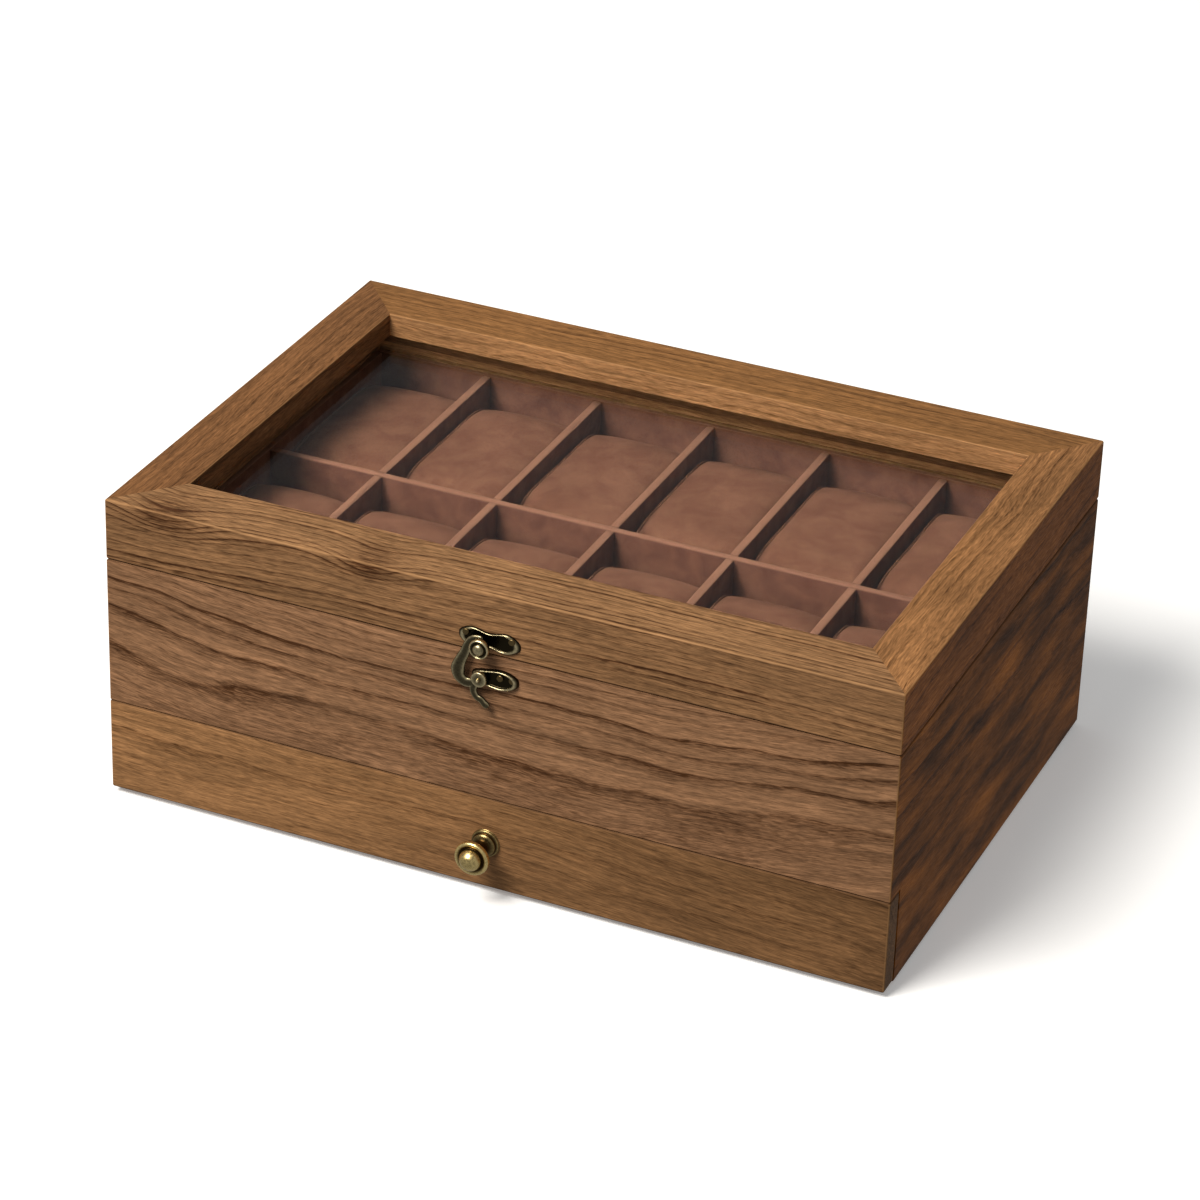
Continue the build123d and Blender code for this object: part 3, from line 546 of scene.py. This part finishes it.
# lining: dull brown velvet, with a painted highlight along the tops of the dividers
liningVelvet = velvetMaterial("flockedVelvetLining", "#553225", "#6c4736", sheen=0.12, topHighlight="#7c5642")
# pillows: brushed suede, warmer and lighter than the lining, with soft hand marks
pillowSuede = velvetMaterial("brushedSuedePillow", "#5b3827", "#714c38", napSize=0.7, mottle=0.18, sheen=0.10,
                             patchSize=12.0)
# under the box: flat grey-brown wool felt
baseFelt = velvetMaterial("pressedWoolFelt", "#4d443c", "#5c5249", napSize=1.2, mottle=0.16, sheen=0.15)
# in the drawer: the same velvet as the lining, darker all over, with a dimmer painted highlight along the tops
drawerVelvet = velvetMaterial("flockedVelvetDrawer", "#4b2d21", "#5a3c2d", sheen=0.12, topHighlight="#6f4e3c")

coverings = {
    # node: how far its edges are rounded in mm, the material and the slot
    **{f"lining_{side}": (0.7, liningVelvet, "lining_velvet") for side in ("front", "back", "left", "right")},
    **{f"cross_divider_{i}": (0.9, liningVelvet, "lining_velvet") for i in range(1, 6)},
    "long_divider": (0.9, liningVelvet, "lining_velvet"),
    "floor_lining": (0.5, liningVelvet, "lining_velvet"),
    "drawer_lining": (0.5, drawerVelvet, "lining_velvet"),
    "base_felt": (0.4, baseFelt, "felt"),
}


def coverNode(node, roundness, material):
    mesh = nodes[node].data.copy()
    mesh.name = node + "_cover"
    tidy(mesh, outwards=False)
    mesh.materials.clear()
    mesh.materials.append(material)
    mesh.shade_smooth()
    cover = bpy.data.objects.new(node + "_cover", mesh)
    bpy.context.scene.collection.objects.link(cover)
    bevel = cover.modifiers.new("softEdge", "BEVEL")
    bevel.width = roundness * mm
    bevel.segments = 3
    bevel.limit_method = "ANGLE"
    bevel.angle_limit = math.radians(40)
    bevel.harden_normals = True
    settle(cover, bodyOf[node], (node,))


for node, (roundness, material, slot) in coverings.items():
    coverNode(node, roundness, material)
print("linings and dividers covered")

# pillows: stuffed suede rolls with flat sewn ends, three made up and each used four times

pillowSetup = {
    "counts": (12, 26, 15),
    "squareness": 5.6,  # 2 is an oval section, higher is boxier
    "inset": (1.0, 1.0, 1.0),  # mm the roll starts inside its space, because the stuffing swells it
    "endDrop": 1.6,  # mm the top falls away towards the sewn ends
    "pressure": 4.0,
    "cap": 5.0,
    "frames": 20,
    "seamRadius": 0.45,
    "variants": 3,
    "fill": 0.75,
}


def cubeShell(counts):
    # the six faces of a cube from -1 to 1, each a grid; they meet point for point at the edges
    parts = []
    for axis in range(3):
        u, v = [other for other in range(3) if other != axis]
        across, up = np.meshgrid(np.linspace(-1, 1, counts[u] + 1), np.linspace(-1, 1, counts[v] + 1), indexing="ij")
        for side in (-1.0, 1.0):
            points = np.empty(across.shape + (3,))
            points[..., axis], points[..., u], points[..., v] = side, across, up
            parts.append(shell(points))
    return join(parts)


def rollShape(cube, half, variant, setup):
    # squares round the length become superellipses, then the top drops towards both sewn ends
    x, y, z = cube.T
    power = setup["squareness"]
    ring = np.maximum(np.abs(y), np.abs(z))
    norm = (np.abs(y) ** power + np.abs(z) ** power) ** (1 / power)
    scale = np.where(norm > 0, ring / np.maximum(norm, 1e-9), 1.0)
    y, z = y * scale, z * scale
    lean = 0.4 * math.sin(2.1 * variant + 0.5)
    drop = setup["endDrop"] * np.abs(x) ** 3 * (0.5 + 0.5 * z)
    dent = 0.35 * np.sin(2.6 * y + 1.7 * variant) * np.cos(1.9 * x + variant) * (z > 0) * z
    return np.stack([x * half[0], y * half[1] + lean * x, z * half[2] - drop + dent], -1)


def puff(piece, cap, limit, setup):
    # air pressure swells the sewn shell, then no point may move more than cap nor leave its space
    mesh = piece.data
    start = np.empty(len(mesh.vertices) * 3)
    mesh.vertices.foreach_get("co", start)
    start = start.reshape(-1, 3)
    cloth = piece.modifiers.new("stuffing", "CLOTH")
    cloth.settings.use_pressure = True
    cloth.settings.uniform_pressure_force = setup["pressure"]
    cloth.settings.effector_weights.gravity = 0
    cloth.settings.quality = 6
    cloth.point_cache.frame_start = 1
    cloth.point_cache.frame_end = setup["frames"]
    scene = bpy.context.scene
    for step in range(1, setup["frames"] + 1):
        scene.frame_set(step)
    swollen = piece.evaluated_get(bpy.context.evaluated_depsgraph_get()).data
    moved = np.empty(len(swollen.vertices) * 3)
    swollen.vertices.foreach_get("co", moved)
    piece.modifiers.remove(cloth)
    scene.frame_set(1)
    shift = moved.reshape(-1, 3) - start
    size = np.linalg.norm(shift, axis=1, keepdims=True)
    result = start + shift * np.minimum(1, cap / np.maximum(size, 1e-9))
    # past nine tenths of the way to the cell wall the cloth flattens softly against it
    soft = limit * 0.9
    over = np.maximum(np.abs(result) - soft, 0)
    result = np.sign(result) * (np.minimum(np.abs(result), soft) + (limit - soft) * np.tanh(over / (limit - soft)))
    mesh.vertices.foreach_set("co", result.ravel())


def pillowMesh(variant, half, setup):
    cube, faces, _ = cubeShell(setup["counts"])
    inside = np.array(half) - np.array(setup["inset"])
    mesh = bpy.data.meshes.new(f"pillowRoll{variant}")
    mesh.from_pydata(rollShape(cube, inside, variant, setup) * mm, [], faces)
    onSeam = (np.abs(cube[:, 0]) > 0.999) & (np.maximum(np.abs(cube[:, 1]), np.abs(cube[:, 2])) > 0.999)
    mark = np.where(onSeam, np.sign(cube[:, 0]), 0.0).astype(np.float32)
    mesh.attributes.new("seam", "FLOAT", "POINT").data.foreach_set("value", mark)
    tidy(mesh)
    roll = bpy.data.objects.new(f"pillowRoll{variant}", mesh)
    bpy.context.scene.collection.objects.link(roll)
    puff(roll, setup["cap"] * mm, np.array(half) * mm, setup)
    bpy.data.objects.remove(roll)
    return mesh


def seamTubes(mesh, radius, sides=8):
    # a cord follows each sewn end: a small circle carried round the marked points in order of their angle
    points = np.empty(len(mesh.vertices) * 3)
    mesh.vertices.foreach_get("co", points)
    points = points.reshape(-1, 3) / mm
    marks = np.empty(len(mesh.vertices), np.float32)
    mesh.attributes["seam"].data.foreach_get("value", marks)
    tubes = []
    for end in (-1.0, 1.0):
        loop = points[np.abs(marks - end) < 0.5]
        loop = loop[np.argsort(np.arctan2(loop[:, 2], loop[:, 1]))]
        line = np.vstack([loop, loop[:1]])
        outward = line * (0, 1, 1)
        outward /= np.linalg.norm(outward, axis=1, keepdims=True)
        angle = np.linspace(0, 2 * math.pi, sides + 1)
        out, sideways = np.cos(angle)[None, :, None], np.sin(angle)[None, :, None]
        ring = radius * (out * outward[:, None, :] + sideways * np.array([1.0, 0, 0]))
        inward = line - outward * radius * 0.55 - np.array([end * radius * 0.55, 0, 0])
        tubes.append(shell(inward[:, None, :] + ring))
    return tubes


pillowNodes = [f"pillow_{row}_{i}" for row in ("front", "back") for i in range(1, 7)]
low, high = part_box(pillowNodes[0])
pillowHalf = tuple((high[k] - low[k]) / 2 / mm for k in range(3))
rollMeshes = [pillowMesh(v, pillowHalf, pillowSetup) for v in range(pillowSetup["variants"])]
rollSeams = [seamTubes(mesh, pillowSetup["seamRadius"]) for mesh in rollMeshes]
for place, node in enumerate(pillowNodes):
    low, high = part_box(node)
    centre = np.array([(low[k] + high[k]) / 2 for k in range(3)])
    variant = (place * 2 + place // 6) % pillowSetup["variants"]
    mesh = rollMeshes[variant].copy()
    mesh.transform(Matrix.Translation(centre))
    mesh.materials.append(pillowSuede)
    mesh.shade_smooth()
    pillow = bpy.data.objects.new(node + "_roll", mesh)
    bpy.context.scene.collection.objects.link(pillow)
    smooth = pillow.modifiers.new("smooth", "SUBSURF")
    smooth.levels = smooth.render_levels = 1
    settle(pillow, bodyOf[node], (node,))
    moved = [(points + centre / mm, faces, rubbed) for points, faces, rubbed in rollSeams[variant]]
    makePiece(node + "_seam", moved, bodyOf[node], pillowSuede)
print("pillows stuffed and sewn")

# antique bronze casting: blackened in the hollows, rubbed back to pale metal along rims and crests


def castMetal(name, dark, bright, roughness, pitSize=0.8):
    material, tree, shader = newMaterial(name)
    inMm = add(tree, "Mapping", {"Vector": add(tree, "TexCoord", output="Object"), "Scale": (1000,) * 3})
    pits = add(tree, "TexNoise", {"Vector": inMm, "Scale": 1 / pitSize, "Detail": 3.0, "Roughness": 0.6})
    paler = add(tree, "Attribute", output="Fac", attribute_name="rubbed")
    patchy = add(tree, "ValToRGB", {0: pits}, stops=[(0.25, 0.55), (0.6, 1.1)])
    broken = add(tree, "Math", {0: paler, 1: patchy}, operation="MULTIPLY", use_clamp=True)
    base = add(tree, "Mix", {0: broken, 6: dark, 7: bright}, output=2, data_type="RGBA")
    tree.links.new(base, shader.inputs["Base Color"])
    shader.inputs["Metallic"].default_value = 1.0
    satin = add(tree, "ValToRGB", {0: pits}, stops=[(0.3, roughness - 0.06), (0.7, roughness + 0.12)])
    tree.links.new(satin, shader.inputs["Roughness"])
    bump = add(tree, "Bump", {"Height": pits, "Strength": 0.3, "Distance": 0.0002})
    tree.links.new(bump, shader.inputs["Normal"])
    return material


# latch: near black with pale rubbed rims; hinges: duller and even; knob: dark brass with golden crests; screws:
# plain grey zinc. The pits are about 0.8 mm, coarser than a real casting's, so that they break up the shine
latchBronze = castMetal("antiqueBronzeCasting", "#2b2518", "#dccb9e", 0.27)
hingeBronze = castMetal("antiqueBronzeHinge", "#6d5c3c", "#d9c9a0", 0.36)
knobBrass = castMetal("antiqueBrassTurned", "#3f2c14", "#f6da93", 0.28)
screwSteel = castMetal("zincPlatedSteel", "#a9a69c", "#d8d6cf", 0.34)

for node in ("lid_hinge_leaves", "case_hinge_leaves", "hinge_pins", "catch_nails", "hook_plate_nails"):
    paint(node, hingeBronze)
for node in ("knob_screw", "lid_hinge_screws", "case_hinge_screws"):
    paint(node, screwSteel)

# latch plates: a thin casting with a raised rim, swelling at its lobes

plateLooks = {
    "catch_plate": {"waist": 0.62, "lobes": 2, "lobeAt": 0.66, "lean": 0.8, "rim": 0.13},
    "hook_plate": {"waist": 0.80, "lobes": 1, "lobeAt": 0.45, "lean": -0.3, "rim": 0.15},
}


def plateShell(node, look, rows=26, around=120):
    # the outline's half height follows the length: round at both ends and narrow at the waist; going in from
    # the edge the face climbs to the rim, then sinks to a flat floor
    low, high = (np.array(corner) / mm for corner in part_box(node))
    halfX, halfZ = (high[0] - low[0]) / 2, (high[2] - low[2]) / 2
    t = np.linspace(0, 2 * math.pi, around + 1)
    end = np.cos(t)
    bulge = np.cos(math.pi * end / look["lobeAt"]) if look["lobes"] == 2 else -np.cos(math.pi * (end - look["lobeAt"]))
    body = look["waist"] + (1 - look["waist"]) * 0.5 * (1 - bulge)
    outlineX = halfX * end
    outlineZ = halfZ * np.sign(np.sin(t)) * np.abs(np.sin(t)) ** 0.7 * body
    inward = np.concatenate([np.linspace(0, look["rim"], 8), np.linspace(look["rim"], 0.42, 8)[1:], [0.7, 1.0]])
    ramped = np.clip(inward / look["rim"], 0, 1)
    crest = np.sin(math.pi * np.clip(inward / (2 * look["rim"]), 0, 1)) ** 0.7
    height = 0.30 * np.sin(math.pi / 2 * ramped) ** 0.5 + 0.70 * crest
    height = np.where(inward >= 2 * look["rim"], 0.38, height)
    height = np.maximum(height, np.where(inward > look["rim"], 0.38, 0))
    cx, cz = (low[0] + high[0]) / 2, (low[2] + high[2]) / 2
    scale = (1 - inward)[:, None]
    x = cx + outlineX[None, :] * scale
    lean = look["lean"] * (outlineX[None, :] / halfX) ** 3 * scale
    z = cz + outlineZ[None, :] * scale * 0.94 - lean * 0.35
    depth = high[1] - low[1]
    y = np.broadcast_to((high[1] - depth * height)[:, None], x.shape)
    back = np.stack([x, np.full_like(x, high[1]), z], -1)
    front = np.stack([x, y, z], -1)
    rubbed = np.broadcast_to((crest**6 * (inward < 2 * look["rim"]))[:, None], x.shape)
    return [shell(front, rubbed), shell(back[:, ::-1])]


for node, look in plateLooks.items():
    makePiece(node + "_cast", plateShell(node, look), bodyOf[node], latchBronze, (node,))

# round work on the latch: the post that the hook catches, and the rivet that it turns on


def roundPiece(node, profile, material):
    low, high = (np.array(corner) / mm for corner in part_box(node))
    centre = ((low[0] + high[0]) / 2, high[1], (low[2] + high[2]) / 2)
    makePiece(node + "_turned", [turned(profile, centre, proud=True)], bodyOf[node], material, (node,))


def scaledProfile(node, profile):
    # radii are parts of the node's own radius and distances parts of its length
    low, high = (np.array(corner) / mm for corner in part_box(node))
    radius, length = (high[0] - low[0]) / 2, high[1] - low[1]
    return [(r * radius, forward * length, proud) for r, forward, proud in profile]


postProfile = [(0, 0, 0), (0.38, 0, 0), (0.39, 0.3, 0), (0.39, 0.48, 0), (0.55, 0.52, 0), (0.94, 0.56, 0.2),
               (1.0, 0.66, 0.6), (0.98, 0.78, 1.0), (0.86, 0.84, 1.0), (0.74, 0.78, 0.1), (0.62, 0.78, 0.0),
               (0.55, 0.86, 0.3), (0.42, 0.94, 0.6), (0.22, 0.99, 0.7), (0, 1.0, 0.7)]
rivetProfile = [(0, 0, 0), (0.6, 0, 0), (0.74, 0.05, 0.0), (0.76, 0.3, 0.2), (0.70, 0.52, 0.5), (0.60, 0.62, 0.3),
                (0.52, 0.66, 0.1), (0.44, 0.78, 0.4), (0.26, 0.95, 0.8), (0, 1.0, 0.9)]
roundPiece("catch_post", scaledProfile("catch_post", postProfile), latchBronze)
roundPiece("pivot_rivet", scaledProfile("pivot_rivet", rivetProfile), latchBronze)

# the swinging hook: a round eye, a thick arm that curls over the post and a curled tail to lift it by

hookSetup = {
    "arm": [(0, 0), (-2.6, -1.9), (-5.6, -2.3), (-8.2, -0.4), (-8.8, 2.8), (-7.7, 6.6), (-6.0, 10.4), (-4.7, 14.2),
            (-2.6, 17.0), (1.6, 17.8)],
    "armWidths": [3.2, 3.6, 4.3, 5.1, 5.8, 4.6, 4.0, 3.5, 3.1, 2.8],
    "tail": [(0, 0), (-1.8, -2.6), (-2.2, -5.2), (-0.9, -7.6), (1.2, -8.6), (2.6, -10.0), (4.4, -10.9)],
    "tailWidths": [3.2, 3.2, 3.0, 2.8, 2.8, 3.1, 3.4],
    "eye": 3.2,
}


def hookParts(setup, pivot):
    low, high = (np.array(corner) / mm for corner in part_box("latch_hook"))
    thickness = high[1] - low[1]
    parts = []
    for line, widths, count in ((setup["arm"], setup["armWidths"], 150), (setup["tail"], setup["tailWidths"], 90)):
        bar = smoothLine(line, count) + (pivot[0], pivot[2])
        parts.append(flatBar(bar, np.interp(np.linspace(0, 1, count), np.linspace(0, 1, len(widths)), widths),
                             high[1], thickness))
    r = setup["eye"]
    eye = [(0, 0, 0), (r * 0.9, 0, 0), (r, 0.25, 0.3), (r, thickness * 0.7, 0.9), (r * 0.9, thickness, 1.0),
           (r * 0.6, thickness, 0.4), (0, thickness, 0)]
    parts.append(turned(eye, (pivot[0], high[1], pivot[2]), count=60, around=48, proud=True))
    return parts


pivot = [value / mm for value in joints["hook_swing"]["pos_m"]]
makePiece("latch_hook_cast", hookParts(hookSetup, pivot), "latch_hook", latchBronze, ("latch_hook",))
print("latch cast")

# drawer knob: turned brass with a stepped foot, a slim neck and a head with a raised ring round a button

knobProfile = [
    # radius, distance forward and how rubbed it is: foot, neck, then the head's ring, groove and button
    (0, 0, 0), (5.5, 0, 0), (5.8, 0.35, 0.35), (5.7, 0.9, 0.45), (5.0, 1.3, 0), (4.6, 1.7, 0), (4.8, 2.2, 0.35),
    (4.3, 2.8, 0.2), (3.0, 3.6, 0), (2.4, 5.0, 0), (2.3, 6.8, 0), (2.6, 8.2, 0), (3.8, 9.4, 0), (5.6, 10.4, 0.1),
    (6.9, 11.4, 0.4), (7.2, 12.4, 0.9), (7.0, 13.3, 1.0), (6.3, 13.8, 1.0), (5.5, 13.5, 0.2), (4.9, 13.2, 0),
    (4.6, 13.6, 0.1), (4.4, 14.6, 0.7), (3.9, 15.8, 0.9), (2.8, 17.1, 0.85), (1.4, 17.8, 0.75), (0, 18.0, 0.7)]
low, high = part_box("knob")
knobPlace = tuple(value / mm for value in ((low[0] + high[0]) / 2, high[1], (low[2] + high[2]) / 2))
makePiece("knob_turned", [turned(knobProfile, knobPlace, count=220, around=96, proud=True)], "drawer",
          knobBrass, ("knob",))
print("knob turned")

# plain light and floor

floorSetup = {"size": 6.0, "colour": "#fcfcfb", "glow": 0.2}  # lit a little from below, as a light table is


def makeFloor(setup):
    half = setup["size"] / 2
    corners = [(-half, -half, 0), (half, -half, 0), (half, half, 0), (-half, half, 0)]
    mesh = bpy.data.meshes.new("studioFloor")
    mesh.from_pydata(corners, [], [(0, 1, 2, 3)])
    floor = bpy.data.objects.new("studioFloor", mesh)
    bpy.context.scene.collection.objects.link(floor)
    material, tree, shader = newMaterial("mattPaper")
    shader.inputs["Base Color"].default_value = linear(setup["colour"])
    shader.inputs["Roughness"].default_value = 0.9
    shader.inputs["Specular IOR Level"].default_value = 0.1
    shader.inputs["Emission Color"].default_value = linear("#ffffff")
    shader.inputs["Emission Strength"].default_value = setup["glow"]
    mesh.materials.append(material)
    # matt white paper; it takes shadows but throws no light back up, which keeps the side away from the lamp dark
    floor.visible_diffuse = False
    floor.visible_glossy = False


makeFloor(floorSetup)

lights = {
    # name: where it stands, where it points, its size and its power
    "keyLight": dict(place=(-1.02, -1.95, 2.95), aim=(0.0, -0.02, 0.06), size=1.6, power=158.0, colour="#fffbf5"),
}


def makeLight(name, place, aim, size, power, colour):
    data = bpy.data.lights.new(name, "AREA")
    data.shape = "SQUARE"
    data.size = size
    data.energy = power
    data.color = linear(colour)[:3]
    lamp = bpy.data.objects.new(name, data)
    bpy.context.scene.collection.objects.link(lamp)
    lamp.location = place
    lamp.rotation_euler = (Vector(aim) - Vector(place)).to_track_quat("-Z", "Y").to_euler()


for name, setup in lights.items():
    makeLight(name, **setup)

world = bpy.data.worlds.new("paleRoom")
world.use_nodes = True
world.node_tree.nodes["Background"].inputs[0].default_value = linear("#ffffff")
world.node_tree.nodes["Background"].inputs[1].default_value = 0.30
bpy.context.scene.world = world
bpy.context.scene.view_settings.view_transform = "Standard"
print("lights and floor placed")
